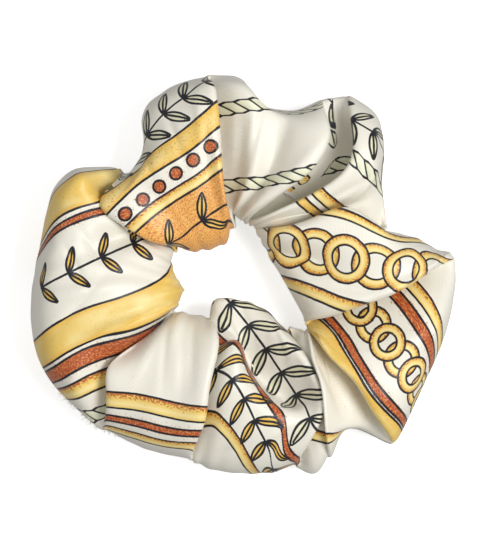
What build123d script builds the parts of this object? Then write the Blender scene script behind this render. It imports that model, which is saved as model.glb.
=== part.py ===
"""Fabric-covered hair elastic (a scrunchie), lying flat in its relaxed, gathered state.

A straight strip of satin is folded lengthways, sewn along its long edges and turned right side out, so that
it becomes a tube. The tube is threaded with a flat woven elastic that is much shorter than the tube, the two
ends of the elastic are lapped and sewn, and the two ends of the tube are tucked into each other and closed
with one row of stitches. The elastic pulls the long tube together into a ring of deep gathers.

Frame: millimetres, +Z up, +X the wider way across. The origin is in the middle of the ring's footprint, on the
surface that it lies on. The elastic's ring is round about the Z axis.

The ring opens by stretching. The cover is in two halves that meet in the plane X = 0, and the right half draws
away along +X, as when the loop is pulled open between two hands.
"""

from build123d import *
import math
import os

os.makedirs("parts", exist_ok=True)

# ---------------------------------------------------------------- driving dimensions
height = 28.0            # height of the gathered tube as it lies
wall = 1.3               # bulk of the gathered satin: about three layers with their air
half_gap = 0.10          # each half of the cover stops this far from the plane X = 0
rest_dip = 0.55          # how much of each lobe is pressed flat where it rests

elastic_radius = 25.0    # mid radius of the relaxed elastic loop
elastic_width = 6.0      # width of the woven elastic, along Z
elastic_thick = 1.0      # thickness of the woven elastic, radially
elastic_z = 11.0         # height of the elastic's mid line
splice_angle = 214.0     # where the two ends of the elastic lap, degrees about Z from +X
splice_length = 14.0     # length of the lap
thread = 0.5             # diameter of the sewing thread

allowance = 6.0          # width of the long seam's allowance, which stands up inside the tube
allowance_thick = 0.8    # the two layers of the allowance
seam_line = 4.4          # height of the long seam's stitches above the underside
seam_stitch = 2.4        # length of one stitch of the long seam
closing_angle = 220      # where the two ends of the tube are closed, degrees about Z
closing_stitches = 30    # stitches round the tube at the closing seam
closing_stitch = 2.0     # length of one of them

# Gathered outline: angle about Z in degrees, inner radius, outer radius, share of the full height, lift off the
# table. High shares are the crowns of the gathers, low ones the valleys between them.
outline = [
    (0, 9.0, 57.4, 0.95, 0.0),
    (10, 8.5, 50.6, 0.84, 1.6),
    (20, 8.4, 42.6, 0.90, 1.2),
    (30, 7.8, 44.2, 0.88, 1.8),
    (40, 7.8, 49.9, 0.97, 0.0),
    (50, 8.4, 55.6, 1.00, 0.0),
    (60, 8.6, 54.8, 0.92, 1.2),
    (70, 10.3, 49.2, 0.84, 2.0),
    (80, 12.3, 47.9, 0.86, 1.6),
    (90, 13.2, 52.6, 0.90, 0.9),
    (100, 11.9, 55.1, 0.98, 0.0),
    (110, 9.0, 54.3, 1.00, 0.0),
    (120, 8.6, 50.9, 0.90, 1.4),
    (130, 9.3, 45.2, 0.84, 2.0),
    (140, 10.2, 46.8, 0.90, 1.2),
    (150, 12.4, 53.2, 0.98, 0.0),
    (160, 17.2, 55.4, 0.96, 0.0),
    (170, 18.2, 55.4, 0.90, 1.0),
    (180, 17.9, 56.7, 0.94, 0.6),
    (190, 16.4, 58.5, 1.00, 0.0),
    (200, 17.0, 60.2, 0.96, 0.4),
    (210, 18.6, 59.4, 0.90, 1.2),
    (220, 15.4, 58.3, 0.88, 1.6),
    (230, 9.6, 57.0, 0.94, 0.4),
    (240, 7.2, 54.9, 1.00, 0.0),
    (250, 6.9, 54.3, 0.96, 0.2),
    (260, 7.0, 54.2, 0.90, 1.2),
    (270, 7.4, 54.3, 0.94, 1.0),
    (280, 8.4, 54.2, 1.00, 0.0),
    (290, 10.2, 55.6, 0.90, 1.2),
    (300, 12.9, 54.4, 0.84, 2.0),
    (310, 17.2, 58.2, 0.92, 0.8),
    (320, 19.4, 59.4, 1.00, 0.0),
    (330, 18.4, 57.4, 0.94, 0.4),
    (340, 14.3, 56.9, 0.88, 1.4),
    (350, 10.9, 57.7, 0.94, 0.4),
]


def station(angle):
    """The outline's row at a whole ten degrees, with any number of turns added."""
    return outline[round(angle / 10) % 36]


def radial_plane(angle, radius, z):
    """A plane across the tube: its X runs outwards from the axis, its normal runs round the ring."""
    t = math.radians(angle)
    return Plane(
        origin=(radius * math.cos(t), radius * math.sin(t), z),
        x_dir=(math.cos(t), math.sin(t), 0),
        z_dir=(-math.sin(t), math.cos(t), 0),
    )


def section(angle):
    """(plane, half width, half height) of the tube at this angle."""
    _, r_in, r_out, share, lift = station(angle)
    half_w = (r_out - r_in) / 2
    half_h = height * share / 2
    z = half_h + lift - (rest_dip if lift < 0.35 else 0.0)
    return radial_plane(angle, (r_in + r_out) / 2, z), half_w, half_h


def ring(w, h):
    """The closed outline of the tube, half width w and half height h, inside a sketch."""
    points = [
        (w * math.cos(math.tau * k / 12), h * math.sin(math.tau * k / 12)) for k in range(12)
    ]
    with BuildLine() as outline_of_tube:
        Spline(points, periodic=True)
    make_face(outline_of_tube.edges())


def tube_spans(first, skin, mode):
    """The half ring from angle first on, in six lofts of thirty degrees, drawn in by skin on all sides."""
    for start in range(first, first + 180, 30):
        across = []
        for a in range(start, start + 31, 10):
            plane, w, h = section(a)
            with BuildSketch(plane) as one:
                ring(w - skin, h - skin)
            across.append(one.sketch.face())
        loft(across, mode=mode)


def allowance_spans(first):
    """The long seam's allowance inside the half ring from angle first on: a fin that stands on the underside."""
    for start in range(first, first + 180, 30):
        across = []
        for a in range(start, start + 31, 10):
            plane, w, h = section(a)
            with BuildSketch(plane) as one:
                with Locations((0, h - 0.4 - allowance / 2)):
                    Rectangle(allowance_thick, allowance)
            across.append(one.sketch.face())
        loft(across)


def along(start, end):
    """Where a straight stitch lies from one point to the other: its middle, with Z along it."""
    a, b = Vector(*start), Vector(*end)
    return Plane(origin=(a + b) * 0.5, z_dir=b - a).location


def seam_stitches(first, side):
    """Places of the long seam's stitches on one face of the allowance, at each whole ten degrees inside the half."""
    places = []
    for a in range(first + 10, first + 171, 10):
        h = section(a)[2]
        mids = []
        for da in (-10, 0, 10):
            _, r_in, r_out, _, _ = station(a + da)
            t = math.radians(a + da)
            r = (r_in + r_out) / 2
            mids.append(Vector(r * math.cos(t), r * math.sin(t), 0))
        run = (mids[2] - mids[0]).normalized()
        out = Vector(run.Y, -run.X, 0)
        z = section(a)[0].origin.Z - h + seam_line
        middle = mids[1] + out * side * (allowance_thick / 2 + thread * 0.3) + Vector(0, 0, z)
        places.append(along(tuple(middle - run * (seam_stitch / 2)), tuple(middle + run * (seam_stitch / 2))))
    return places


# ---------------------------------------------------------------- satin cover, left half: 90 to 270 degrees
with BuildPart() as cover_left:
    tube_spans(90, 0.0, Mode.ADD)
    tube_spans(90, wall, Mode.SUBTRACT)
    allowance_spans(90)
    with BuildSketch(Plane.XY.offset(-6)):
        Rectangle(200, 200)
    extrude(amount=6, mode=Mode.SUBTRACT)
    split(bisect_by=Plane.YZ.offset(-half_gap), keep=Keep.BOTTOM)

# ---------------------------------------------------------------- satin cover, right half: 270 to 450 degrees
with BuildPart() as cover_right:
    tube_spans(270, 0.0, Mode.ADD)
    tube_spans(270, wall, Mode.SUBTRACT)
    allowance_spans(270)
    with BuildSketch(Plane.XY.offset(-6)):
        Rectangle(200, 200)
    extrude(amount=6, mode=Mode.SUBTRACT)
    split(bisect_by=Plane.YZ.offset(half_gap), keep=Keep.TOP)

# ---------------------------------------------------------------- woven elastic: a closed loop, lapped at the splice
lap_degrees = math.degrees(splice_length / (elastic_radius + elastic_thick))
with BuildPart() as elastic_band:
    with BuildSketch(Plane.XZ):
        with Locations((elastic_radius, elastic_z)):
            Rectangle(elastic_thick, elastic_width)
    revolve(axis=Axis.Z)
    with BuildSketch(Plane.XZ.rotated((0, 0, splice_angle - lap_degrees / 2))):
        with Locations((elastic_radius + elastic_thick, elastic_z)):
            Rectangle(elastic_thick, elastic_width)
    revolve(axis=Axis.Z, revolution_arc=lap_degrees)

# ---------------------------------------------------------------- two rows of zigzag through the lap, on both faces
legs = []
for row in (-1, 1):
    row_angle = splice_angle + row * lap_degrees * 0.27
    for r in (elastic_radius - elastic_thick / 2 - thread * 0.3, elastic_radius + 1.5 * elastic_thick + thread * 0.3):
        for k in range(5):
            z0 = elastic_z - 2.5 + k
            swing = math.degrees(0.8 / r) * (1 if k % 2 else -1)
            t0, t1 = math.radians(row_angle - swing), math.radians(row_angle + swing)
            legs.append(
                along((r * math.cos(t0), r * math.sin(t0), z0), (r * math.cos(t1), r * math.sin(t1), z0 + 1.0))
            )
with BuildPart() as elastic_splice_thread:
    with Locations(*legs):
        Cylinder(thread / 2, 1.95)

# ---------------------------------------------------------------- long seam: stitches on both faces of the allowance
with BuildPart() as long_seam_thread_left:
    with Locations(*seam_stitches(90, -1), *seam_stitches(90, 1)):
        Cylinder(thread / 2, seam_stitch)

with BuildPart() as long_seam_thread_right:
    with Locations(*seam_stitches(270, -1), *seam_stitches(270, 1)):
        Cylinder(thread / 2, seam_stitch)

# ---------------------------------------------------------------- closing seam: one row of stitches round the tube
plane, w, h = section(closing_angle)
around = []
for k in range(closing_stitches):
    t = math.tau * (k + 0.5) / closing_stitches
    here = Vector(w * math.cos(t), h * math.sin(t), 0)
    run = Vector(-w * math.sin(t), h * math.cos(t), 0).normalized() * (closing_stitch / 2)
    around.append(along(tuple(plane.from_local_coords(here - run)), tuple(plane.from_local_coords(here + run))))
with BuildPart() as closing_seam_thread:
    with Locations(*around):
        Cylinder(thread / 2, closing_stitch)

# ---------------------------------------------------------------- export, one file for each piece
pieces = {
    "cover_left": cover_left,
    "cover_right": cover_right,
    "elastic_band": elastic_band,
    "elastic_splice_thread": elastic_splice_thread,
    "long_seam_thread_left": long_seam_thread_left,
    "long_seam_thread_right": long_seam_thread_right,
    "closing_seam_thread": closing_seam_thread,
}
for name, piece in pieces.items():
    solid = piece.part
    solid.label = name
    export_step(solid, f"parts/{name}.step")
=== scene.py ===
"""A gathered satin scrunchie: one closed tube of printed satin on a hidden elastic, with its closing seam."""
import math
import bpy
import numpy as np
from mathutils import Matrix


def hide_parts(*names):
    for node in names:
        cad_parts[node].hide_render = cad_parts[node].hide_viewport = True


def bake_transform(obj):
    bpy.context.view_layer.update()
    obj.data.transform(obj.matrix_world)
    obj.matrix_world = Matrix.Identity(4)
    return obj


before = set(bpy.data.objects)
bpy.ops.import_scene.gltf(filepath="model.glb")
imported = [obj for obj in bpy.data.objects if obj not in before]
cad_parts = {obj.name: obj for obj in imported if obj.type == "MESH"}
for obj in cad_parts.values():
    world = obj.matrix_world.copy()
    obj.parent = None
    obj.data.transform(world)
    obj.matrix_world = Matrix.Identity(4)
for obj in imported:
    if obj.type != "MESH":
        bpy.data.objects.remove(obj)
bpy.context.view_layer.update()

MM = 0.001

# ------------------------------------------------------------------ the gathers
# Each row is one section across the tube, from the hole outwards, clockwise seen from above. A point is
# (across, down, height in mm): across and down are in thirds of a unit whose size and zero are below.
# "b" is the body of a gather. ">" is a fold whose edge lies over the gather that follows, and "<" one whose edge
# lies over the gather before it; the two numbers are how far the cloth is tucked back under and how far it drops.
UNIT = 1.0 / (3.0 * 3.713)
ZERO = (724.5 - 60.0, 820.5 - 180.0)

ROWS = [
    # lobe A, upper left, with its ridge from the lower left to the top
    ("<", 5.0, 9.0, [(468, 566, 11), (400, 545, 21), (318, 497, 23.5), (246, 434, 23), (306, 338, 10)]),
    ("b", 0, 0, [(500, 568, 12), (432, 480, 22.5), (345, 405, 25), (318, 388, 24), (345, 322, 10)]),
    ("b", 0, 0, [(535, 568, 12), (468, 440, 23), (395, 330, 26.5), (378, 300, 22), (374, 240, 10)]),
    ("b", 0, 0, [(572, 563, 12), (515, 420, 23.5), (460, 283, 27), (415, 215, 22), (369, 165, 10)]),
    ("b", 0, 0, [(605, 550, 12), (560, 400, 24), (520, 238, 27), (470, 150, 23), (425, 100, 11)]),
    ("b", 0, 0, [(625, 530, 12), (590, 390, 24.5), (560, 190, 27), (530, 110, 24), (505, 64, 12)]),
    (">", 5.0, 10.0, [(636, 500, 12), (611, 400, 25), (600, 260, 26), (584, 100, 25), (560, 50, 12)]),
    # panel B, with a lower gather behind its outer edge
    ("b", 0, 0, [(634, 462, 11), (640, 385, 17), (655, 260, 19), (650, 112, 21), (610, 47, 10)]),
    ("b", 0, 0, [(640, 458, 11), (682, 375, 21), (702, 260, 23), (700, 122, 22), (668, 60, 9)]),
    ("b", 0, 0, [(648, 462, 11), (712, 375, 20), (745, 265, 21), (745, 160, 21), (712, 128, 10)]),
    ("b", 0, 0, [(655, 468, 11), (735, 375, 20), (775, 280, 21), (795, 190, 21), (775, 150, 10)]),
    # lobe C, upper right: two ridges with a deep valley between them
    ("b", 0, 0, [(664, 476, 11), (752, 388, 24), (830, 300, 26), (862, 215, 25), (850, 146, 11)]),
    (">", 3.5, 9.0, [(675, 481, 11), (790, 394, 24), (880, 318, 26.5), (925, 225, 25), (905, 122, 11)]),
    ("<", 3.5, 8.0, [(690, 486, 11), (800, 442, 22), (925, 375, 24.5), (995, 285, 25), (985, 110, 11)]),
    ("b", 0, 0, [(700, 490, 11), (815, 452, 22), (950, 398, 24), (1035, 285, 25), (1048, 145, 11)]),
    ("b", 0, 0, [(706, 496, 11), (830, 465, 20), (975, 425, 20), (1055, 350, 22), (1090, 245, 11)]),
    ("b", 0, 0, [(710, 503, 11), (845, 482, 19), (985, 455, 17), (1045, 415, 17), (1086, 380, 10)]),
    # panel D, right, a broad band from the hole down to the right, lying over its neighbours on both sides
    ("<", 4.0, 8.0, [(714, 512, 12), (850, 490, 22), (985, 448, 23), (1075, 500, 22), (1098, 505, 12)]),
    ("b", 0, 0, [(728, 540, 12), (860, 540, 23), (1000, 545, 25), (1115, 570, 24), (1172, 530, 11)]),
    ("b", 0, 0, [(740, 566, 10), (858, 590, 18.5), (1006, 612, 25), (1130, 598, 25), (1206, 545, 10)]),
    ("b", 0, 0, [(770, 620, 11), (880, 640, 22), (1014, 668, 25.5), (1146, 640, 25), (1262, 572, 10)]),
    (">", 4.5, 9.0, [(858, 782, 12), (930, 765, 21), (1020, 733, 24), (1135, 690, 24), (1298, 592, 12)]),
    # panel E, lower right
    ("b", 0, 0, [(864, 795, 11), (965, 815, 19), (1065, 815, 21), (1185, 770, 22), (1303, 690, 11)]),
    ("b", 0, 0, [(866, 800, 11), (960, 855, 22), (1065, 885, 24.5), (1175, 880, 24), (1272, 830, 11)]),
    ("b", 0, 0, [(867, 804, 11), (940, 872, 22.5), (1035, 940, 25), (1115, 990, 24), (1205, 985, 11)]),
    (">", 3.5, 7.0, [(867, 808, 11), (925, 885, 22), (1003, 965, 24), (1056, 1050, 23), (1120, 1146, 12)]),
    # panels F and G, either side of a sharp upright ridge
    ("b", 0, 0, [(862, 812, 11), (905, 905, 19), (958, 1010, 20), (1000, 1080, 18), (1030, 1113, 9)]),
    ("b", 0, 0, [(859, 814, 11), (888, 905, 22), (925, 1000, 24), (945, 1090, 22), (965, 1118, 10)]),
    (">", 2.5, 5.0, [(856, 816, 11), (878, 895, 23), (906, 990, 26), (916, 1100, 25), (926, 1190, 12)]),
    ("b", 0, 0, [(848, 816, 11), (866, 900, 20), (890, 1010, 21), (893, 1110, 21), (896, 1234, 10)]),
    # lobe H, bottom: a hollow like a pocket, with the lower flap's edge in front of it
    ("<", 4.0, 8.0, [(806, 809, 11), (862, 900, 21), (906, 1010, 24), (895, 1090, 23), (830, 1218, 10)]),
    ("b", 0, 0, [(766, 780, 12), (826, 880, 22), (872, 1000, 21.5), (856, 1082, 23), (772, 1232, 10)]),
    ("b", 0, 0, [(735, 752, 12.5), (790, 868, 20), (818, 1026, 16), (803, 1070, 23.5), (720, 1238, 10)]),
    ("b", 0, 0, [(700, 735, 13), (748, 852, 18), (758, 1000, 15), (748, 1046, 24.5), (668, 1239, 10)]),
    ("b", 0, 0, [(655, 722, 13), (704, 838, 16), (712, 958, 15), (698, 1006, 25), (622, 1236, 10)]),
    ("b", 0, 0, [(612, 717, 13), (655, 826, 16), (676, 896, 15.5), (656, 948, 25), (578, 1226, 10)]),
    ("b", 0, 0, [(580, 728, 12), (612, 800, 18), (636, 842, 17.5), (620, 890, 24), (540, 1212, 10)]),
    # panel I, lower left, its right edge over lobe H
    ("<", 5.0, 9.0, [(584, 776, 12), (592, 850, 25), (566, 980, 27), (552, 1080, 25), (508, 1196, 11)]),
    ("b", 0, 0, [(545, 772, 12), (520, 860, 24), (500, 965, 25.5), (470, 1080, 24), (428, 1180, 10)]),
    ("b", 0, 0, [(500, 764, 12), (455, 850, 23), (425, 950, 24.5), (390, 1050, 23), (345, 1152, 10)]),
    ("b", 0, 0, [(470, 759, 12), (412, 835, 21), (350, 930, 23), (325, 1022, 22), (300, 1130, 10)]),
    (">", 2.2, 5.5, [(458, 754, 12), (366, 840, 16.5), (270, 918, 21.5), (263, 1000, 21), (252, 1108, 11)]),
    # lobe L, left, broad and smooth
    ("b", 0, 0, [(468, 735, 12), (350, 806, 22), (236, 880, 21), (196, 960, 20.5), (180, 1054, 10)]),
    ("b", 0, 0, [(474, 722, 12), (345, 775, 23), (222, 832, 23), (150, 900, 22), (100, 972, 10)]),
    ("b", 0, 0, [(484, 700, 12), (358, 745, 24), (230, 790, 25.5), (130, 850, 24), (55, 890, 11)]),
    ("b", 0, 0, [(482, 678, 12), (368, 670, 23), (235, 680, 26), (120, 710, 25), (34, 740, 11)]),
    ("b", 0, 0, [(460, 640, 12), (375, 610, 21), (250, 580, 25), (130, 585, 25), (50, 610, 11)]),
    ("b", 0, 0, [(452, 600, 12), (378, 565, 20), (270, 510, 23.5), (155, 475, 24), (75, 490, 11)]),
    ("b", 0, 0, [(456, 575, 12), (368, 540, 18), (262, 455, 22), (165, 405, 24), (100, 395, 11)]),
    ("b", 0, 0, [(460, 568, 11), (355, 525, 16), (245, 425, 20), (190, 365, 24), (150, 335, 11)]),
    ("b", 0, 0, [(462, 566, 11), (345, 515, 14), (240, 405, 18), (225, 355, 20), (225, 324, 10)]),
    ("b", 0, 0, [(464, 566, 11), (345, 512, 13), (262, 412, 15), (275, 362, 15), (285, 324, 9)]),
]


def place(point):
    """A table point in mm in the row frame."""
    return np.array([(point[0] - ZERO[0]) * UNIT, (ZERO[1] - point[1]) * UNIT, point[2]])


# Which stretch of cloth each row belongs to: a new one starts at every fold's hidden tuck.
STRETCHES = (
    ["A"] * 7 + ["B"] * 6 + ["C"] * 4 + ["D"] * 5 + ["E"] * 4 + ["F"] * 3 + ["G"] + ["H"] * 7 + ["I"] * 5 + ["L"] * 10
)


assert len(STRETCHES) == len(ROWS), (len(STRETCHES), len(ROWS))


def sections():
    """Every section as (five points, bottom's inner point, bottom's outer point), with the tucks put in, and its stretch."""
    lines = [np.array([place(p) for p in row[3]]) for row in ROWS]
    n, out, names = len(lines), [], []
    for k, (kind, back, drop, _) in enumerate(ROWS):
        line = lines[k]
        if kind == "b":
            out.append((line, line[0], line[4]))
            names.append(STRETCHES[k])
            continue
        run = np.gradient(line[:, :2], axis=0)
        run /= np.linalg.norm(run, axis=1)[:, None]
        ahead = np.column_stack([run[:, 1], -run[:, 0]])       # right of the way out: the clockwise way round
        if np.sum((lines[(k + 1) % n][2] - lines[k - 1][2])[:2] * ahead[2]) < 0:
            ahead = -ahead
        ahead = np.column_stack([ahead, np.zeros(5)])
        up = np.array([0, 0, 1.0])
        side = 1.0 if kind == ">" else -1.0                    # the covered gather is ahead, or behind
        share = np.array([0.0, 1.0, 1.0, 1.0, 0.0])[:, None]
        edge = line + ahead * side * 0.3 * (1 - share)
        under = line - up * share * drop * 0.36 - ahead * side * share * 0.5
        tuck = line - up * share * drop - ahead * side * share * back
        edge = line - ahead * side * (1 - share) * 0.7
        tuck = tuck + ahead * side * (1 - share) * 0.7
        pieces = [
            (edge, line[0] - ahead[0] * side * 1.2, line[4] - ahead[4] * side * 1.2),
            (under, line[0], line[4]),
            (tuck, line[0] + ahead[0] * side * 1.2, line[4] + ahead[4] * side * 1.2),
        ]
        out += pieces if kind == ">" else pieces[::-1]
        hidden = STRETCHES[(k + 1) % n] if kind == ">" else STRETCHES[k - 1]
        names += [STRETCHES[k], STRETCHES[k], hidden] if kind == ">" else [hidden, STRETCHES[k], STRETCHES[k]]
    return out, names


def loop(points, low_in, low_out):
    """The twelve control points round one section: over the top outwards, and back underneath."""
    i, p1, p2, p3, o = points
    rise = lambda a, b, t, s: np.append(a[:2] + (b[:2] - a[:2]) * t, a[2] + (b[2] - a[2]) * s)
    low = [np.append(low_in[:2] + (low_out - low_in)[:2] * f, z) for f, z in ((0.16, 1.2), (0.5, 0.45), (0.84, 1.2))]
    return np.array([
        i, rise(i, p1, 0.22, 0.55), p1, p2, p3, rise(o, p3, 0.22, 0.55),
        o, rise(o, low[2], 0.25, 0.62), low[2], low[1], low[0], rise(i, low[0], 0.25, 0.62),
    ])


def closed_spline(knots, values, at):
    """Periodic cubic spline through values (n, ...) at knots (n + 1, the last one closing it), read at the given places."""
    n = len(values)
    h = np.diff(knots)
    flat = values.reshape(n, -1)
    slope = (np.roll(flat, -1, axis=0) - flat) / h[:, None]
    m = np.zeros((n, n))
    for k in range(n):
        m[k, (k - 1) % n] += h[k - 1]
        m[k, k] += 2 * (h[k - 1] + h[k])
        m[k, (k + 1) % n] += h[k]
    second = np.linalg.solve(m, 6 * (slope - np.roll(slope, 1, axis=0)))
    at = np.mod(at - knots[0], knots[-1] - knots[0]) + knots[0]
    k = np.clip(np.searchsorted(knots, at, side="right") - 1, 0, n - 1)
    a, b = (knots[k + 1] - at)[:, None], (at - knots[k])[:, None]
    hk = h[k][:, None]
    nxt = (k + 1) % n
    out = (
        second[k] * a**3 / (6 * hk) + second[nxt] * b**3 / (6 * hk)
        + (flat[k] / hk - second[k] * hk / 6) * a + (flat[nxt] / hk - second[nxt] * hk / 6) * b
    )
    return out.reshape((len(at),) + values.shape[1:])


def knots_along(grid, axis, power=1.0, least=0.6):
    """Mean spacing along one axis of a periodic grid, added up."""
    step = np.linalg.norm(np.roll(grid, -1, axis=axis) - grid, axis=2) ** power
    return np.concatenate([[0.0], np.cumsum(np.maximum(step.mean(axis=1 - axis), least))])


def tube(nu, nv_top, nv_low):
    """Points of the tube in mm, (nu, nv_top + nv_low, 3), clockwise round the ring and then round the tube, and what goes with them."""
    rows, names = sections()
    cage = np.array([loop(*s) for s in rows])
    ku, kv = knots_along(cage, 0), knots_along(cage, 1)
    v = np.concatenate([
        np.linspace(0, kv[6], nv_top, endpoint=False), np.linspace(kv[6], kv[12], nv_low, endpoint=False)
    ])
    across = np.swapaxes(closed_spline(kv, np.swapaxes(cage, 0, 1), v), 0, 1)
    u = np.linspace(0, ku[-1], nu, endpoint=False)
    middle = (ku[:-1] + ku[1:]) / 2
    owner = np.array(names)[np.searchsorted(middle, u) % len(names)]
    return closed_spline(ku, across, u), u / ku[-1], owner


NU, NV_TOP, NV_LOW = ((600, 108, 42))
grid, U, owner = tube(NU, NV_TOP, NV_LOW)
NV = NV_TOP + NV_LOW
grid[..., 2] = np.maximum(grid[..., 2], 0.15)

# Where each point lies on the printed cloth laid out flat, in mm: unrolled at its true length from the middle of the
# upper side, inwards to the hole and outwards over the rim to the lower side, so that it meets itself only at the hole.
flat = grid[..., :2].copy()
rim = grid[:, NV_TOP, :2]
outwards = rim / np.linalg.norm(rim, axis=1)[:, None]
step = np.diff(grid, axis=1)
length = np.linalg.norm(step, axis=2)[..., None]
aim = step[..., :2] + 0.35 * length * outwards[:, None]
aim /= np.linalg.norm(aim, axis=2)[..., None] + 1e-9
for j in range(NV_TOP // 2, NV - 1):
    flat[:, j + 1] = flat[:, j] + (aim[:, j] if j < NV_TOP else outwards) * length[:, j]
for j in range(NV_TOP // 2, 0, -1):
    flat[:, j - 1] = flat[:, j] - aim[:, j - 1] * length[:, j - 1]


# Soft hollows and swells that the gathers in the table are too coarse for: stretches, middle, half length and half
# width in the table's units, turn in degrees clockwise from +X as drawn, and rise in mm.
PX = 1 / 11.139  # one unit of the table in mm
SWELLS = [
    ("L", 292, 538, 85, 42, -20, -4.5), ("L", 168, 612, 62, 11, 62, -0.8), ("L", 228, 575, 60, 12, 55, -0.9),
    ("L", 215, 690, 130, 24, -10, 1.1), ("L", 130, 470, 60, 12, -30, 0.7), ("L", 175, 740, 90, 12, -48, -0.7),
    ("L", 330, 760, 70, 20, -20, 1.0), ("IL", 335, 868, 64, 24, -42, -2.2), ("I", 436, 890, 95, 13, 95, -0.7),
    ("I", 372, 905, 80, 11, -62, 0.6), ("I", 520, 880, 90, 14, 92, -0.5), ("I", 470, 900, 100, 14, 92, 0.5),
    ("A", 380, 300, 60, 12, 70, -1.0), ("A", 470, 240, 80, 12, 70, -0.8), ("A", 540, 200, 90, 14, 88, 0.7),
    ("A", 350, 500, 60, 14, 25, -0.7), ("A", 520, 430, 70, 30, 85, 0.6), ("B", 640, 240, 90, 14, 92, 0.8),
    ("B", 705, 240, 80, 12, 100, -0.9), ("BC", 830, 330, 90, 14, -50, 0.7), ("C", 960, 400, 90, 11, -28, -0.9),
    ("C", 900, 360, 80, 12, -45, 0.7), ("C", 915, 458, 110, 15, -20, -3.2), ("C", 905, 300, 70, 13, -52, -1.2), ("D", 880, 620, 90, 14, 40, 0.5), ("D", 980, 690, 120, 14, 12, -0.6),
    ("D", 1150, 620, 80, 18, -12, 0.5), ("E", 1090, 1000, 90, 14, 60, 0.6),
    ("E", 1230, 780, 80, 14, 100, -0.5), ("F", 985, 1000, 90, 20, 65, 0.5),
    ("G", 880, 1150, 60, 10, 80, -0.5), ("H", 620, 1170, 70, 12, -20, -0.5), ("H", 760, 1120, 70, 12, -30, 0.5),
]
ahead = np.roll(grid, -1, axis=0) - np.roll(grid, 1, axis=0)
around = np.roll(grid, -1, axis=1) - np.roll(grid, 1, axis=1)
normal = np.cross(around, ahead)
normal /= np.linalg.norm(normal, axis=2)[..., None] + 1e-9
middle = grid.mean(axis=1)[:, None]
normal *= np.sign(np.sum(normal * (grid - middle), axis=(1, 2)))[:, None, None]
spots = grid.copy()
for stretches, x, y, half_length, half_width, turn, rise in SWELLS:
    c = np.array(place((x, y, 0))[:2])
    t = math.radians(-turn)
    off = spots[..., :2] - c
    along = (off[..., 0] * math.cos(t) + off[..., 1] * math.sin(t)) / (half_length * PX)
    aside = (-off[..., 0] * math.sin(t) + off[..., 1] * math.cos(t)) / (half_width * PX)
    w = np.exp(-along**2 - aside**2) * np.clip(normal[..., 2] * 2, 0, 1) * np.isin(owner, list(stretches))[:, None]
    grid[..., 2] += rise * w
# fine ripples that run from the hole outwards, strongest at the hole where the cloth is gathered tightest
V = np.concatenate([np.linspace(0, 0.5, NV_TOP, endpoint=False), np.linspace(0.5, 1, NV_LOW, endpoint=False)])[None, :]
u2, v2 = U[:, None] * math.tau, V * math.tau
tight = 0.11 + 0.40 * np.sin(np.clip(V - 0.5, 0, 0.5) * math.tau) ** 0.8 + 0.05 * np.cos(v2 / 2) ** 4 + 0.10 * np.cos(3 * u2 + 2 * np.sin(v2)) * np.sin(v2 / 2) ** 2
waves = (
    np.sin(47 * u2 + 1.9 * np.sin(v2 + 5 * u2)) + 0.6 * np.sin(71 * u2 - 1.3 * np.sin(2 * v2 + 3 * u2) + 1)
    + 0.7 * np.sin(31 * u2 + 2.6 * np.sin(v2 - 7 * u2) + 2)
)
grid += normal * (tight * waves * 0.55)[..., None]
grid[..., 2] = np.maximum(grid[..., 2], 0.15)


def mesh_from(name, points):
    nu, nv = points.shape[:2]
    a = (np.arange(nu)[:, None] * nv + np.arange(nv)[None, :])
    right, up = np.roll(a, -1, axis=0), np.roll(a, -1, axis=1)
    both = np.roll(right, -1, axis=1)
    faces = np.stack([a, up, both, right], axis=-1).reshape(-1, 4)
    mesh = bpy.data.meshes.new(name)
    mesh.from_pydata((points.reshape(-1, 3) * MM).tolist(), [], faces.tolist())
    mesh.update()
    mesh.polygons.foreach_set("use_smooth", np.ones(len(mesh.polygons), dtype=bool))
    obj = bpy.data.objects.new(name, mesh)
    bpy.context.scene.collection.objects.link(obj)
    return obj


cover = mesh_from("satin_cover", grid)

# ------------------------------------------------------------------ the print
# Every shape is drawn on the flat layout in the same units as the table above, and tagged with the stretches of
# cloth that carry it. "*" is all of them. The shapes are ropes, straps, rings, studs and leaves.
def at(*points):
    return np.array([place((x, y, 0))[:2] for x, y in points])


def smooth(points, closed=False, per=10):
    """A Catmull-Rom line through the points."""
    p = np.array(points, dtype=float)
    n = len(p)
    idx = (lambda k: k % n) if closed else (lambda k: min(max(k, 0), n - 1))
    out = []
    for k in range(n if closed else n - 1):
        a, b, c, d = (p[idx(k + j)] for j in (-1, 0, 1, 2))
        t = np.linspace(0, 1, per, endpoint=False)[:, None]
        out.append(0.5 * (2 * b + (c - a) * t + (2 * a - 5 * b + 4 * c - d) * t**2 + (3 * b - a - 3 * c + d) * t**3))
    if not closed:
        out.append(p[-1:])
    return np.concatenate(out)


points_flat = flat.reshape(-1, 2)
points_owner = np.repeat(owner, NV)
FAR = 4.0


def near(line, tags, reach=FAR):
    """Indices of the mesh points that a shape can mark."""
    lo, hi = line.min(axis=0) - reach, line.max(axis=0) + reach
    inside = np.all((points_flat > lo) & (points_flat < hi), axis=1)
    if tags != "*":
        inside &= np.isin(points_owner, list(tags))
    return np.nonzero(inside)[0]


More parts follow.
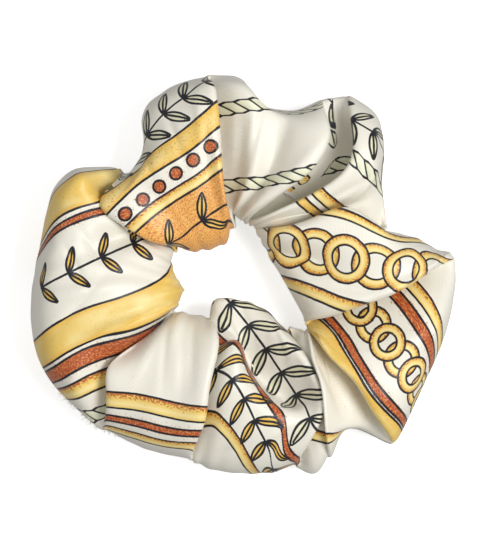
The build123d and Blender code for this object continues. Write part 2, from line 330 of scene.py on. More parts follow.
def from_line(q, line, closed):
    """For each point: distance to the line, side (+1 left of it), and length along it to the nearest place."""
    a = line
    b = np.roll(line, -1, axis=0)
    if not closed:
        a, b = line[:-1], line[1:]
    best = np.full(len(q), 1e9)
    side, along = np.ones(len(q)), np.zeros(len(q))
    length = 0.0
    for p0, p1 in zip(a, b):
        d = p1 - p0
        l2 = d @ d
        if l2 < 1e-12:
            continue
        r = q - p0
        t = np.clip(r @ d / l2, 0, 1)
        gap = r - t[:, None] * d
        dist = np.hypot(gap[:, 0], gap[:, 1])
        closer = dist < best
        best = np.where(closer, dist, best)
        side = np.where(closer, np.sign(d[0] * r[:, 1] - d[1] * r[:, 0]), side)
        along = np.where(closer, length + t * math.sqrt(l2), along)
        length += math.sqrt(l2)
    return best, np.where(side == 0, 1, side), along


def in_polygon(q, poly):
    inside = np.zeros(len(q), dtype=bool)
    for p0, p1 in zip(poly, np.roll(poly, -1, axis=0)):
        crosses = (p0[1] > q[:, 1]) != (p1[1] > q[:, 1])
        x = p0[0] + (q[:, 1] - p0[1]) * (p1[0] - p0[0]) / (p1[1] - p0[1] + 1e-12)
        inside ^= crosses & (q[:, 0] < x)
    return inside


N = len(points_flat)
LAYERS = 6
field = {k: np.full(N, FAR) for k in ("gold", "rust", "sage", "amber", "strap", "strap2", "rope")}
field.update({k: np.zeros(N) for k in ("across", "across2", "twist", "length", "dots", "heat", "heat2", "none")})
for j in range(LAYERS):
    field[f"gap{j}"] = np.full(N, FAR)
    field[f"pen{j}"] = np.full(N, FAR)


def patch(kind, tags, *points, dots=None, closed_smooth=True):
    """A filled shape of one colour."""
    poly = smooth(at(*points), True, 6) if closed_smooth else at(*points)
    k = near(poly, tags)
    q = points_flat[k]
    d, _, _ = from_line(q, poly, True)
    d = np.where(in_polygon(q, poly), -d, d)
    field[kind][k] = np.minimum(field[kind][k], d)
    if dots is not None:
        field["dots"][k] = np.where(d < 0.6, np.maximum(field["dots"][k], dots), field["dots"][k])


def clear(kinds, tags, *points):
    """Bare cloth inside this outline."""
    poly = smooth(at(*points), True, 6)
    k = near(poly, tags)
    q = points_flat[k]
    d, _, _ = from_line(q, poly, True)
    d = np.where(in_polygon(q, poly), -d, d)
    for kind in kinds:
        field[kind][k] = np.maximum(field[kind][k], -d)


def band(layer, tags, half, *points, closed=False, heat=0.0):
    """A strap or ring of the given half width in mm. heat is how much rust shading it has."""
    line = smooth(at(*points), closed)
    k = near(line, tags, FAR + half)
    d, side, _ = from_line(points_flat[k], line, closed)
    edge = d - half
    name = {1: ("strap", "across", "heat"), 2: ("strap2", "across2", "heat2")}[layer]
    better = edge < field[name[0]][k]
    k, edge, n = k[better], edge[better], (side * d / half)[better]
    field[name[0]][k] = edge
    field[name[1]][k] = n
    field[name[2]][k] = heat


def rope(tags, half, *points, closed=False):
    line = smooth(at(*points), closed)
    k = near(line, tags, FAR + half)
    d, side, along = from_line(points_flat[k], line, closed)
    edge = d - half
    better = edge < field["rope"][k]
    k = k[better]
    field["rope"][k] = edge[better]
    field["twist"][k] = (side * d / half)[better]
    field["length"][k] = along[better]


def stroke(tags, *points, closed=False):
    """A thin dark line. Lines that run close together go on different layers, so that each stays sharp."""
    line = smooth(at(*points), closed)
    k = near(line, "*")
    mine = np.ones(len(k), dtype=bool) if tags == "*" else np.isin(points_owner[k], list(tags))
    if not mine.any():
        return
    d, side, _ = from_line(points_flat[k], line, closed)
    close = (d < 1.6) & mine
    clash = [np.sum(field[f"gap{j}"][k[close]] < 1.6) for j in range(LAYERS)]
    j = int(np.argmin(clash))
    free = ~mine & (field[f"gap{j}"][k] >= FAR)  # keeps the sign across the border of a stretch, where it would flip
    field[f"pen{j}"][k[free]] = (side * d)[free]
    better = (d < field[f"gap{j}"][k]) & mine
    k, d, side = k[better], d[better], side[better]
    field[f"gap{j}"][k] = d
    field[f"pen{j}"][k] = side * d


def leaf(tags, *points, fill="sage"):
    clear(("gold", "rust", "amber"), tags, *points)
    if fill:
        patch(fill, tags, *points)
    stroke(tags, *points, closed=True)


def ring_of(x, y, r, n=10):
    return [(x + r * math.cos(math.tau * j / n), y + r * math.sin(math.tau * j / n)) for j in range(n)]


# The print is a plain repeat of rows: twisted ropes, straps, chains of equal rings, studs and pairs of leaves. Each
# stretch of cloth carries rows at its own place and turn, because the folds hide what lies between them.
def laid(x, y, turn):
    """Turns mm along and across the rows into the table's units: the rows' middle, and their turn clockwise as drawn."""
    c, s = math.cos(math.radians(turn)), math.sin(math.radians(turn))
    return lambda points: [(x + (a * c - b * s) / UNIT, y + (a * s + b * c) / UNIT) for a, b in points]


def row(y, reach, bend=0.8, n=11):
    return [(a, y + bend * math.sin(0.17 * a + 0.06 * y)) for a in np.linspace(-reach, reach, n)]


def rope_row(tags, lay, y, reach, half=1.85):
    rope(tags, half, *lay(row(y, reach)))


def strap_row(tags, lay, y, half, reach, heat=0.15, layer=1):
    band(layer, tags, half, *lay(row(y, reach)), heat=heat)


def panel_row(tags, lay, y0, y1, kind, reach, dots=None):
    patch(kind, tags, *lay(row(y0, reach) + row(y1, reach)[::-1]), dots=dots)
    for y in (y0, y1):
        stroke(tags, *lay(row(y, reach)))


def ring_row(tags, lay, y, r, pitch, reach, half=1.2):
    for k, a in enumerate(np.arange(-reach, reach + 0.01, pitch)):
        round_it = [(a + r * math.cos(t), y + r * math.sin(t)) for t in np.linspace(0, math.tau, 10, endpoint=False)]
        band(1 + k % 2, tags, half, *lay(round_it), closed=True, heat=0.16)


def stud_row(tags, lay, y, r, pitch, reach):
    for a in np.arange(-reach, reach + 0.01, pitch):
        round_it = lay([(a + r * math.cos(t), y + r * math.sin(t)) for t in np.linspace(0, math.tau, 10, endpoint=False)])
        patch("rust", tags, *round_it)
        stroke(tags, *round_it, closed=True)


def leaf_row(tags, lay, y, size, pitch, reach, fill="sage"):
    stroke(tags, *lay(row(y, reach, bend=0.0)))
    for a in np.arange(-reach, reach + 0.01, pitch):
        for side in (-1, 1):
            to = lambda shape: lay([(a + size * p, y + side * size * q) for p, q in shape])
            leaf(tags, *to([(0, 0.04), (0.24, 0.16), (0.50, 0.50), (0.62, 0.96), (0.28, 0.74), (0.05, 0.40)]), fill=fill)
            stroke(tags, *to([(0.04, 0.08), (0.26, 0.42), (0.54, 0.84)]))


# upper left: a border of stripes, studs and leaves
lay = laid(455, 350, -38)
panel_row("A", lay, 6.6, 30.0, "amber", 40)
leaf_row("A", lay, 15.5, 6.6, 12.0, 36, fill="gold")
strap_row("A", lay, 5.0, 1.6, 40)
stud_row("A", lay, 0.4, 1.7, 5.8, 39)
panel_row("A", lay, -8.4, -2.8, "gold", 40, dots=0.35)
leaf_row("A", lay, -15.6, 7.2, 7.0, 40)
# top and upper right: ropes on bare satin, then leaves and a strap
lay = laid(700, 270, -12)
rope_row("B", lay, -11.5, 24)
rope_row("B", lay, 9.0, 24)
lay = laid(930, 300, 38)
leaf_row("C", lay, -13.5, 6.6, 6.6, 28)
rope_row("C", lay, -4.5, 30)
strap_row("C", lay, 8.5, 1.6, 30)
panel_row("C", lay, 12.0, 14.6, "gold", 30, dots=0.35)
# right: a chain of rings between two straps
lay = laid(985, 585, 10)
ring_row("D", lay, 1.5, 5.2, 8.4, 26, half=1.35)
strap_row("D", lay, -9.5, 1.2, 32)
strap_row("D", lay, 12.5, 1.5, 32)
# lower right: stripes with a small chain between them
lay = laid(1060, 880, 52)
panel_row("E", lay, 6.4, 13.0, "gold", 36, dots=0.15)
panel_row("E", lay, 3.4, 5.6, "rust", 36)
ring_row("E", lay, -4.6, 3.7, 6.0, 30, half=1.15)
panel_row("E", lay, -14.8, -12.0, "rust", 36)
strap_row("E", lay, -18.4, 1.6, 36)
strap_row("FG", laid(950, 1120, 8), 1.5, 1.4, 16)
# bottom: leaves between stripes
lay = laid(745, 950, 58)
panel_row("H", lay, -15.0, -11.6, "gold", 34, dots=0.1)
leaf_row("H", lay, -4.0, 8.2, 7.6, 30)
panel_row("H", lay, 5.0, 7.2, "rust", 34)
leaf_row("H", lay, 12.8, 7.0, 6.8, 34, fill="gold")
strap_row("H", lay, 21.6, 1.6, 34)
# lower left and left: straps on bare satin
lay = laid(440, 1000, 6)
strap_row("I", lay, 3.6, 2.2, 26, heat=0.2)
panel_row("I", lay, 8.4, 10.4, "rust", 26)
strap_row("I", lay, 14.2, 1.5, 26)
lay = laid(250, 600, -24)
panel_row("L", lay, -24.5, -14.6, "gold", 42, dots=0.16)
panel_row("L", lay, -13.0, -11.2, "rust", 42)
leaf_row("L", lay, -0.6, 6.0, 9.5, 19, fill="gold")
panel_row("L", lay, 10.6, 19.0, "gold", 44, dots=0.12)
panel_row("L", lay, 20.4, 24.4, "rust", 44)
strap_row("L", lay, 29.0, 2.1, 46, heat=0.2)
rope_row("L", lay, 37.0, 46)

# the sides and the underside, beyond the outline: more of the same, spread evenly round
rng = np.random.default_rng(7)
for j in range(13):
    turn = math.tau * (j + rng.uniform(-0.2, 0.2)) / 13
    mid = (ZERO[0], ZERO[1])
    arm = lambda r, da=0.0: (mid[0] + (r + 14) * 11.14 * math.cos(turn + da), mid[1] + (r + 14) * 11.14 * math.sin(turn + da))
    if j % 3 == 0:
        rope("*", 2.0, arm(62, -0.2), arm(70, -0.08), arm(74, 0.1), arm(68, 0.25))
        rope("*", 2.0, arm(88, -0.25), arm(82, 0.0), arm(90, 0.2))
    elif j % 3 == 1:
        band(1, "*", 1.4, *[(arm(72)[0] + 95 * math.cos(a), arm(72)[1] + 95 * math.sin(a)) for a in np.arange(0, math.tau, 0.6)], closed=True, heat=0.4)
        band(2, "*", 1.3, arm(62, -0.12), arm(72, -0.05), arm(84, 0.06), arm(96, 0.02), heat=0.3)
    else:
        patch("gold", "*", arm(60, -0.1), arm(74, -0.16), arm(92, -0.04), arm(90, 0.1), arm(70, 0.1), dots=0.35)
        patch("rust", "*", arm(66, -0.05), arm(82, -0.06), arm(84, 0.03), arm(68, 0.03))
        stroke("*", arm(62, -0.08), arm(76, -0.14), arm(92, -0.02))
        stroke("*", arm(64, 0.06), arm(80, 0.06), arm(92, 0.02))
        patch("sage", "*", arm(62, 0.16), arm(74, 0.2), arm(86, 0.15), arm(74, 0.12))
        stroke("*", arm(62, 0.16), arm(74, 0.2), arm(86, 0.15), arm(74, 0.12), closed=True)


def put(name, *parts):
    data = np.zeros((N, 3), dtype=np.float32)
    for c, part in enumerate(parts):
        data[:, c] = field[part]
    a = cover.data.attributes.new(name, "FLOAT_VECTOR", "POINT")
    a.data.foreach_set("vector", data.ravel())


put("fills", "gold", "rust", "sage")
put("fills_more", "amber", "dots", "none")
put("straps", "strap", "across", "heat")
put("straps_over", "strap2", "across2", "heat2")
put("ropes", "rope", "twist", "length")
put("strokes_a", "pen0", "gap0", "pen1")
put("strokes_b", "gap1", "pen2", "gap2")
put("strokes_c", "pen3", "gap3", "pen4")
put("strokes_d", "gap4", "pen5", "gap5")

layout = cover.data.uv_layers.new(name="layout")
corner = np.zeros(len(cover.data.loops), dtype=np.int32)
cover.data.loops.foreach_get("vertex_index", corner)
layout.data.foreach_set("uv", (points_flat[corner] * 0.01).astype(np.float32).ravel())

# A second layout, unrolled along and round the tube, carries the weave and the grain of the dye.
span = np.concatenate([np.zeros((NU, 1)), np.linalg.norm(np.diff(grid, axis=1), axis=2).cumsum(axis=1)], axis=1)
whole = span[:, -1] + np.linalg.norm(grid[:, -1] - grid[:, 0], axis=1)
start = span[:, NV_TOP].copy()
iu, iv = corner // NV, corner % NV
face = np.arange(len(corner)) // 4
fu, fv = face // NV, face % NV
cloth_u = U[iu] * 330.0 + np.where((iu == 0) & (fu == NU - 1), 330.0, 0.0)
cloth_v = np.where((iv == 0) & (fv == NV - 1), whole[iu], span[iu, iv]) - start[iu]
cloth_uv = cover.data.uv_layers.new(name="cloth")
cloth_uv.data.foreach_set("uv", (np.stack([cloth_u, cloth_v], axis=1) * 0.01).astype(np.float32).ravel())

# ------------------------------------------------------------------ materials
def material(name, color, rough):
    m = bpy.data.materials.new(name)
    m.use_nodes = True
    b = m.node_tree.nodes["Principled BSDF"]
    b.inputs["Base Color"].default_value = (*color, 1)
    b.inputs["Roughness"].default_value = rough
    return m


class Net:
    """Short hand for node trees."""

    def __init__(self, name):
        self.m = bpy.data.materials.new(name)
        self.m.use_nodes = True
        self.t = self.m.node_tree
        self.bsdf = self.t.nodes["Principled BSDF"]

    def new(self, kind, **sets):
        node = self.t.nodes.new(kind)
        for k, v in sets.items():
            setattr(node, k, v)
        return node

    def wire(self, value, socket):
        if hasattr(value, "is_linked"):
            self.t.links.new(value, socket)
        else:
            socket.default_value = value

    def math(self, op, a, b=0.0, c=None, clamp=False):
        node = self.new("ShaderNodeMath", operation=op, use_clamp=clamp)
        self.wire(a, node.inputs[0])
        if op not in ("ABSOLUTE", "FRACT", "SINE", "SQRT"):
            self.wire(b, node.inputs[1])
        if c is not None:
            self.wire(c, node.inputs[2])
        return node.outputs[0]

    def less(self, a, edge, soft=0.04):
        """1 where a is below edge, with a soft step."""
        node = self.new("ShaderNodeMapRange", clamp=True)
        self.wire(a, node.inputs["Value"])
        node.inputs["From Min"].default_value = edge - soft
        node.inputs["From Max"].default_value = edge + soft
        node.inputs["To Min"].default_value = 1
        node.inputs["To Max"].default_value = 0
        return node.outputs[0]

    def mix(self, factor, a, b):
        node = self.new("ShaderNodeMix", data_type="RGBA")
        self.wire(factor, node.inputs[0])
        for value, socket in ((a, node.inputs[6]), (b, node.inputs[7])):
            self.wire((*value, 1) if isinstance(value, tuple) else value, socket)
        return node.outputs[2]

    def parts(self, attribute):
        node = self.new("ShaderNodeAttribute", attribute_name=attribute)
        split = self.new("ShaderNodeSeparateXYZ")
        self.t.links.new(node.outputs["Vector"], split.inputs[0])
        return split.outputs

    def noise(self, where, scale, detail=2.0, rough=0.5):
        node = self.new("ShaderNodeTexNoise")
        self.t.links.new(where, node.inputs["Vector"])
        node.inputs["Scale"].default_value = scale
        node.inputs["Detail"].default_value = detail
        node.inputs["Roughness"].default_value = rough
        return node.outputs["Fac"]


CREAM, GOLD, GOLD_DEEP, RUST, RUST_DEEP, SAGE, INK = (
    (0.77, 0.74, 0.645), (0.77, 0.53, 0.125), (0.62, 0.30, 0.04), (0.41, 0.075, 0.02), (0.17, 0.028, 0.012),
    (0.67, 0.655, 0.46), (0.007, 0.008, 0.013),
)
net = Net("printed_satin")
place_uv = net.new("ShaderNodeUVMap", uv_map="layout").outputs[0]
cloth_at = net.new("ShaderNodeUVMap", uv_map="cloth").outputs[0]
gold, rust, sage = net.parts("fills")
strap, across, heat = net.parts("straps")
strap2, across2, heat2 = net.parts("straps_over")
rope_edge, twist, length = net.parts("ropes")
amber, dots, _ = net.parts("fills_more")
pen0, gap0, pen1 = net.parts("strokes_a")
gap1, pen2, gap2 = net.parts("strokes_b")
pen3, gap3, pen4 = net.parts("strokes_c")
gap4, pen5, gap5 = net.parts("strokes_d")

wobble = net.math("MULTIPLY", net.math("SUBTRACT", net.noise(place_uv, 55.0), 0.5), 0.5)
grain = net.noise(cloth_at, 200.0, 3.0, 0.65)
patches = net.noise(cloth_at, 9.0, 2.0)
gold_w, rust_w, sage_w, amber_w = (net.math("ADD", x, wobble) for x in (gold, rust, sage, amber))

color = CREAM
color = net.mix(net.less(sage_w, 0.0), color, net.mix(net.less(patches, 0.5, 0.1), SAGE, (0.74, 0.70, 0.50)))
fine = net.noise(cloth_at, 210.0, 2.0, 0.6)
gold_tone = net.mix(net.less(patches, 0.47, 0.12), GOLD, (0.84, 0.67, 0.28))
gold_tone = net.mix(net.less(gold_w, -0.9, 0.9), (0.78, 0.45, 0.07), gold_tone)
gold_tone = net.mix(net.math("MULTIPLY", net.math("GREATER_THAN", fine, 0.62), 0.28), gold_tone, (0.66, 0.36, 0.06))
color = net.mix(net.less(gold_w, 0.0), color, gold_tone)
color = net.mix(net.less(amber_w, 0.0, 0.25), color, net.mix(net.less(fine, 0.5, 0.06), (0.80, 0.36, 0.09), (0.84, 0.52, 0.15)))
# rust dots thicken towards the rust shapes, in amber, and where a patch asks for them
near_rust = net.math("MULTIPLY", net.less(rust_w, 0.9, 0.9), 0.6)
near_amber = net.math("MULTIPLY", net.less(amber_w, 0.1, 0.6), 0.62)
density = net.math("ADD", net.math("MAXIMUM", near_rust, near_amber), net.math("MULTIPLY", dots, net.less(gold_w, 0.0)))
speckle = net.math("GREATER_THAN", net.math("ADD", grain, net.math("MULTIPLY", density, 0.26)), 0.70)
color = net.mix(net.math("MULTIPLY", speckle, 0.85), color, (0.52, 0.13, 0.035))
rust_tone = net.mix(net.math("GREATER_THAN", grain, 0.54), RUST, (0.64, 0.24, 0.07))
rust_tone = net.mix(net.math("GREATER_THAN", net.math("SUBTRACT", 1.0, grain), 0.58), rust_tone, (0.32, 0.06, 0.02))
color = net.mix(net.less(rust_w, 0.0, 0.12), color, rust_tone)


def outline(edge, half=0.28):
    edge = net.math("ADD", edge, net.math("MULTIPLY", wobble, 0.35))
    return net.less(net.math("ABSOLUTE", edge), half, 0.06)


def strap_over(color, edge, n, hot):
    inside = net.less(edge, 0.0)
    shade = net.math("ADD", net.math("MULTIPLY", n, 0.85), net.math("SUBTRACT", net.math("MULTIPLY", hot, 1.3), 0.25))
    spot = net.math("GREATER_THAN", net.math("ADD", grain, net.math("MULTIPLY", shade, 0.35)), 0.66)
    tone = net.mix(net.less(net.math("ABSOLUTE", net.math("ADD", n, 0.35)), 0.35, 0.3), GOLD, (0.86, 0.69, 0.30))
    tone = net.mix(net.math("MULTIPLY", spot, 0.85), tone, RUST)
    color = net.mix(inside, color, tone)
    return net.mix(outline(edge), color, INK)


color = strap_over(color, strap, across, heat)
color = strap_over(color, strap2, across2, heat2)
# ropes: slanted strands between dark edges that bulge a little at each strand
lay = net.math("FRACT", net.math("ADD", net.math("MULTIPLY", length, 1 / 3.9), net.math("MULTIPLY", twist, 0.62)))
bulge = net.math("MULTIPLY", net.math("ABSOLUTE", net.math("SUBTRACT", lay, 0.5)), 0.7)
rope_rim = net.math("ADD", rope_edge, bulge)
color = net.mix(net.less(rope_rim, 0.0), color, net.mix(net.less(lay, 0.35, 0.3), (0.78, 0.78, 0.60), SAGE))
strand = net.math("MULTIPLY", net.less(net.math("MINIMUM", lay, net.math("SUBTRACT", 1.0, lay)), 0.095, 0.025), net.less(rope_rim, 0.0))
color = net.mix(strand, color, INK)
color = net.mix(outline(rope_rim, 0.25), color, INK)
pen = None
for side, gap in ((pen0, gap0), (pen1, gap1), (pen2, gap2), (pen3, gap3), (pen4, gap4), (pen5, gap5)):
    mark = net.math("ADD", net.math("ABSOLUTE", side), net.math("MULTIPLY", net.less(gap, 0.75, 0.1), -FAR))
    pen = mark if pen is None else net.math("MINIMUM", pen, mark)
pen = net.math("ADD", net.math("ADD", pen, FAR), net.math("MULTIPLY", wobble, 0.28))
color = net.mix(net.less(pen, 0.315, 0.055), color, INK)
net.wire(color, net.bsdf.inputs["Base Color"])

# satin: a smooth, shiny face with a fine diagonal twill
weave = net.new("ShaderNodeTexWave", wave_type="BANDS", bands_direction="DIAGONAL")
net.t.links.new(cloth_at, weave.inputs["Vector"])
weave.inputs["Scale"].default_value = 62.0
weave.inputs["Distortion"].default_value = 0.6
weave.inputs["Detail"].default_value = 1.0
bump = net.new("ShaderNodeBump")
bump.inputs["Strength"].default_value = 0.25
bump.inputs["Distance"].default_value = 0.00009
net.wire(net.math("ADD", weave.outputs["Fac"], net.math("MULTIPLY", grain, 0.5)), bump.inputs["Height"])
net.wire(bump.outputs[0], net.bsdf.inputs["Normal"])
rough = net.math("ADD", 0.33, net.math("MULTIPLY", net.noise(cloth_at, 40.0), 0.16))
net.wire(rough, net.bsdf.inputs["Roughness"])
net.bsdf.inputs["Specular IOR Level"].default_value = 0.42
net.bsdf.inputs["Sheen Weight"].default_value = 0.14
net.bsdf.inputs["Sheen Roughness"].default_value = 0.35
satin = net.m
cover.data.materials.append(satin)
shell = cover.modifiers.new("thickness", "SOLIDIFY")
shell.thickness = 0.28 * MM
shell.offset = -1

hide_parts("cover_left", "cover_right")
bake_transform(cover)


def cords(name, lines, radius, sides=6):
    """One mesh of round threads along the given lines, in mm, with rounded ends."""
    verts, faces = [], []
    for line in lines:
        p = np.array(line, dtype=float)
        t = np.gradient(p, axis=0)
        t /= np.linalg.norm(t, axis=1)[:, None] + 1e-12
        a = np.cross(t, (0.31, 0.17, 0.93))
        a /= np.linalg.norm(a, axis=1)[:, None] + 1e-12
        b = np.cross(t, a)
        p = np.concatenate([p[:1] - t[:1] * radius * 0.6, p, p[-1:] + t[-1:] * radius * 0.6])
        a, b = np.concatenate([a[:1], a, a[-1:]]), np.concatenate([b[:1], b, b[-1:]])
        size = np.full(len(p), radius)
        size[[0, -1]] *= 0.45
        base = len(verts)
        for k in range(len(p)):
            for j in range(sides):
                w = math.tau * j / sides
                verts.append(p[k] + size[k] * (math.cos(w) * a[k] + math.sin(w) * b[k]))
        for k in range(len(p) - 1):
            for j in range(sides):
                j2 = (j + 1) % sides
                q = base + k * sides
                faces.append((q + j, q + j2, q + sides + j2, q + sides + j))
        faces.append(tuple(base + j for j in reversed(range(sides))))
        faces.append(tuple(base + (len(p) - 1) * sides + j for j in range(sides)))
    mesh = bpy.data.meshes.new(name)
    mesh.from_pydata((np.array(verts) * MM).tolist(), [], faces)
    mesh.update()
    mesh.polygons.foreach_set("use_smooth", np.ones(len(mesh.polygons), dtype=bool))
    obj = bpy.data.objects.new(name, mesh)
    bpy.context.scene.collection.objects.link(obj)
    return obj


# the elastic: a woven band with lengthwise ribs, its two ends lapped over 14 mm at 214 degrees
lap = 14.0 / 26.0
start_at = math.radians(214) - lap / 2
steps = 420
turns = np.linspace(0, math.tau + lap, steps)
lifted = np.clip((turns - (math.tau - 0.28)) / 0.24, 0, 1)
lifted = lifted * lifted * (3 - 2 * lifted)
heights = np.linspace(-3.0, 3.0, 25)
ring_points = []
for face_side in (-0.48, 0.48):
    for h in (heights if face_side < 0 else heights[::-1]):
        rib = 0.06 * math.cos(h / 6.0 * math.tau * 6) * (1 if abs(h) < 2.9 else 0)
        r = 25.0 + lifted * 1.04 + face_side + math.copysign(rib, face_side)
        edge_wave = 0.05 * np.sin(turns * 130) * (abs(h) > 2.9)
        ring_points.append(np.stack([r * np.cos(start_at + turns), r * np.sin(start_at + turns), 11.0 + h + edge_wave], axis=1))
ring_points = np.stack(ring_points, axis=1)
nr = ring_points.shape[1]
band_faces = [
    (k * nr + j, k * nr + (j + 1) % nr, (k + 1) * nr + (j + 1) % nr, (k + 1) * nr + j)
    for k in range(steps - 1) for j in range(nr)
]
band_faces += [tuple(range(nr - 1, -1, -1)), tuple((steps - 1) * nr + j for j in range(nr))]
mesh = bpy.data.meshes.new("woven_elastic")
mesh.from_pydata((ring_points.reshape(-1, 3) * MM).tolist(), [], band_faces)
mesh.update()
mesh.polygons.foreach_set("use_smooth", np.ones(len(mesh.polygons), dtype=bool))
elastic = bpy.data.objects.new("woven_elastic", mesh)
bpy.context.scene.collection.objects.link(elastic)
web = Net("woven_elastic")
where = web.new("ShaderNodeTexCoord").outputs["Object"]
fleck = web.noise(where, 1800.0, 2.0, 0.6)
web.wire(web.mix(web.math("GREATER_THAN", fleck, 0.55), (0.80, 0.79, 0.76), (0.66, 0.65, 0.62)), web.bsdf.inputs["Base Color"])
web.wire(web.math("ADD", 0.62, web.math("MULTIPLY", fleck, 0.2)), web.bsdf.inputs["Roughness"])
elastic.data.materials.append(web.m)

# the zigzag through the lap
zig = []
mid = math.radians(214)
for r, out in ((24.36, 1), (26.72, -1)):
    for row in (-0.36, 0.36):
        a0 = mid + row * lap
        n = 11
        line = [
            (r * math.cos(a0 + (0.035 if k % 2 else -0.035)), r * math.sin(a0 + (0.035 if k % 2 else -0.035)), 8.6 + 4.8 * k / (n - 1))
            for k in range(n)
        ]
        zig.append(line)
lap_thread = cords("elastic_lap_thread", zig, 0.16)

# the long seam runs along the inside of the tube's lower wall: short stitches, one after the other
low = NV_TOP + NV_LOW // 2
inner = np.array(grid)
seam_line = inner[:, low] + (middle[:, 0] - inner[:, low]) * (1.3 / np.linalg.norm(middle[:, 0] - inner[:, low], axis=1))[:, None]
walked = np.concatenate([[0], np.linalg.norm(np.diff(np.concatenate([seam_line, seam_line[:1]]), axis=0), axis=1).cumsum()])
seam_loop = np.concatenate([seam_line, seam_line[:1]])


def along_seam(d):
    return [np.interp(d % walked[-1], walked, seam_loop[:, c]) for c in range(3)]


left_stitches, right_stitches = [], []
pitch = 2.6
for k in range(int(walked[-1] / pitch)):
    st = [along_seam(k * pitch + f) for f in (0.0, 0.6, 1.2, 1.8)]
    (left_stitches if np.mean([q[0] for q in st]) < 0 else right_stitches).append(st)
seam_left = cords("long_seam_stitches_left", left_stitches, 0.14)
seam_right = cords("long_seam_stitches_right", right_stitches, 0.14)

# the closing seam: small stitches round the tube on its surface at the lower left
spot = np.array(place((150, 1010, 0))[:2])
col = int(np.argmin(np.linalg.norm(grid[:, NV_TOP, :2] - spot, axis=1)))
ring_col, ring_normal = grid[col], normal[col]
ring_walk = np.concatenate([[0], np.linalg.norm(np.diff(np.concatenate([ring_col, ring_col[:1]]), axis=0), axis=1).cumsum()])
col_loop, normal_loop = np.concatenate([ring_col, ring_col[:1]]), np.concatenate([ring_normal, ring_normal[:1]])
stitches = []
for k in range(30):
    d0 = ring_walk[-1] * k / 30
    st = []
    for f in np.linspace(0, 0.62, 6):
        d = (d0 + f * ring_walk[-1] / 30) % ring_walk[-1]
        p = np.array([np.interp(d, ring_walk, col_loop[:, c]) for c in range(3)])
        nn = np.array([np.interp(d, ring_walk, normal_loop[:, c]) for c in range(3)])
        st.append(p + nn * (0.02 + 0.06 * math.sin(math.pi * f / 0.62)))
    stitches.append(st)
closing = cords("closing_seam_stitches", stitches, 0.11)

# a few yarns fray out of the doubled edge beside it
import random
luck = random.Random(5)
hairs = []
for k in range(120):
    x = luck.uniform(110, 300)
    base_at = np.array(place((x, 975 + (x - 110) * 0.78, 0))[:2])
    c = int(np.argmin(np.linalg.norm(grid[:, NV_TOP, :2] - base_at, axis=1)))
    v = NV_TOP + luck.randint(-9, 5)
    p, nn = grid[c, v], normal[c, v]
    lean = ahead[c, v] / (np.linalg.norm(ahead[c, v]) + 1e-9) * luck.uniform(-1.2, 1.2)
    size = luck.uniform(0.5, 1.7)
    direction = nn + lean * 0.6
    direction /= np.linalg.norm(direction)
    tip = np.array([luck.uniform(-0.3, 0.3) for _ in range(3)])
    hair = [p + direction * size * f + tip * f * f for f in np.linspace(0, 1, 6)]
    if min(q[2] for q in hair) > 0.05:
        hairs.append(hair)
fray = cords("frayed_yarns", hairs, 0.05, 4)

thread = Net("polyester_thread")
where = thread.new("ShaderNodeTexCoord").outputs["Object"]
ply = thread.noise(where, 2600.0, 2.0, 0.6)
thread.wire(thread.mix(ply, (0.86, 0.83, 0.75), (0.70, 0.66, 0.56)), thread.bsdf.inputs["Base Color"])
thread.wire(thread.math("ADD", 0.45, thread.math("MULTIPLY", ply, 0.2)), thread.bsdf.inputs["Roughness"])
seam_thread = Net("seam_thread")
where = seam_thread.new("ShaderNodeTexCoord").outputs["Object"]
ply = seam_thread.noise(where, 2600.0, 2.0, 0.6)
seam_thread.wire(seam_thread.mix(ply, (0.74, 0.58, 0.28), (0.58, 0.42, 0.16)), seam_thread.bsdf.inputs["Base Color"])
seam_thread.wire(seam_thread.math("ADD", 0.45, seam_thread.math("MULTIPLY", ply, 0.2)), seam_thread.bsdf.inputs["Roughness"])
for obj in (lap_thread, seam_left, seam_right, fray):
    obj.data.materials.append(thread.m)
closing.data.materials.append(seam_thread.m)
for obj in (elastic, lap_thread, seam_left, seam_right, closing, fray):
    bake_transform(obj)
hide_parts("elastic_band")
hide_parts("elastic_splice_thread")
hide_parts("long_seam_thread_left")
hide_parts("long_seam_thread_right")
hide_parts("closing_seam_thread")

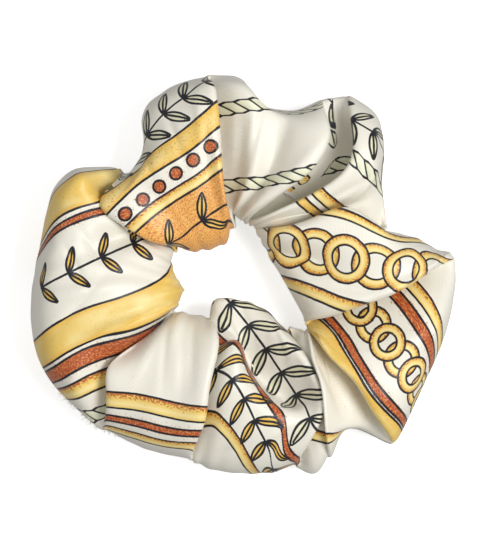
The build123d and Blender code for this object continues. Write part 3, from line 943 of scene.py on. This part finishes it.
# ------------------------------------------------------------------ stage
scene = bpy.context.scene
bpy.ops.mesh.primitive_plane_add(size=3.0, location=(0, 0, -0.0002))
floor = bpy.context.object
floor.name = "floor"
fm = material("floor", (0.93, 0.93, 0.93), 0.9)
fm.node_tree.nodes["Principled BSDF"].inputs["Specular IOR Level"].default_value = 0.0
fm.node_tree.nodes["Principled BSDF"].inputs["Emission Color"].default_value = (1, 1, 1, 1)
fm.node_tree.nodes["Principled BSDF"].inputs["Emission Strength"].default_value = 0.52
floor.data.materials.append(fm)
floor.visible_diffuse = False
floor.visible_glossy = False

world = bpy.data.worlds.new("world")
scene.world = world
world.use_nodes = True
world.node_tree.nodes["Background"].inputs[0].default_value = (1, 1, 1, 1)
sky = world.node_tree
up = sky.nodes.new("ShaderNodeSeparateXYZ")
sky.links.new(sky.nodes.new("ShaderNodeTexCoord").outputs["Generated"], up.inputs[0])
level = sky.nodes.new("ShaderNodeMapRange")
for name, value in (("From Min", -0.3), ("From Max", 0.5), ("To Min", 0.38), ("To Max", 0.46)):
    level.inputs[name].default_value = value
sky.links.new(up.outputs[2], level.inputs["Value"])
sky.links.new(level.outputs[0], sky.nodes["Background"].inputs[1])


def softbox(name, where, size, power):
    light = bpy.data.lights.new(name, "AREA")
    light.shape = "RECTANGLE"
    light.size, light.size_y = size
    light.energy = power
    o = bpy.data.objects.new(name, light)
    o.location = where
    aim = -np.array(where, dtype=float)
    from mathutils import Vector
    o.rotation_euler = Vector(aim).to_track_quat("-Z", "Y").to_euler()
    scene.collection.objects.link(o)


softbox("key", (0.50, -0.02, 0.78), (0.4, 0.4), 6.9)
softbox("fill", (-0.55, 0.15, 0.55), (0.4, 0.4), 0.8)

cam = bpy.data.cameras.new("camera")
camera = bpy.data.objects.new("camera", cam)
scene.collection.objects.link(camera)
DISTANCE = 1.3
camera.location = (0.00027, -0.0004, DISTANCE + 0.014)
camera.rotation_euler = (0, 0, 0)
cam.sensor_fit = "VERTICAL"
cam.sensor_height = 24.0
cam.lens = 24.0 * DISTANCE / 0.1481
cam.clip_end = 10
scene.camera = camera
scene.view_settings.view_transform = "Standard"
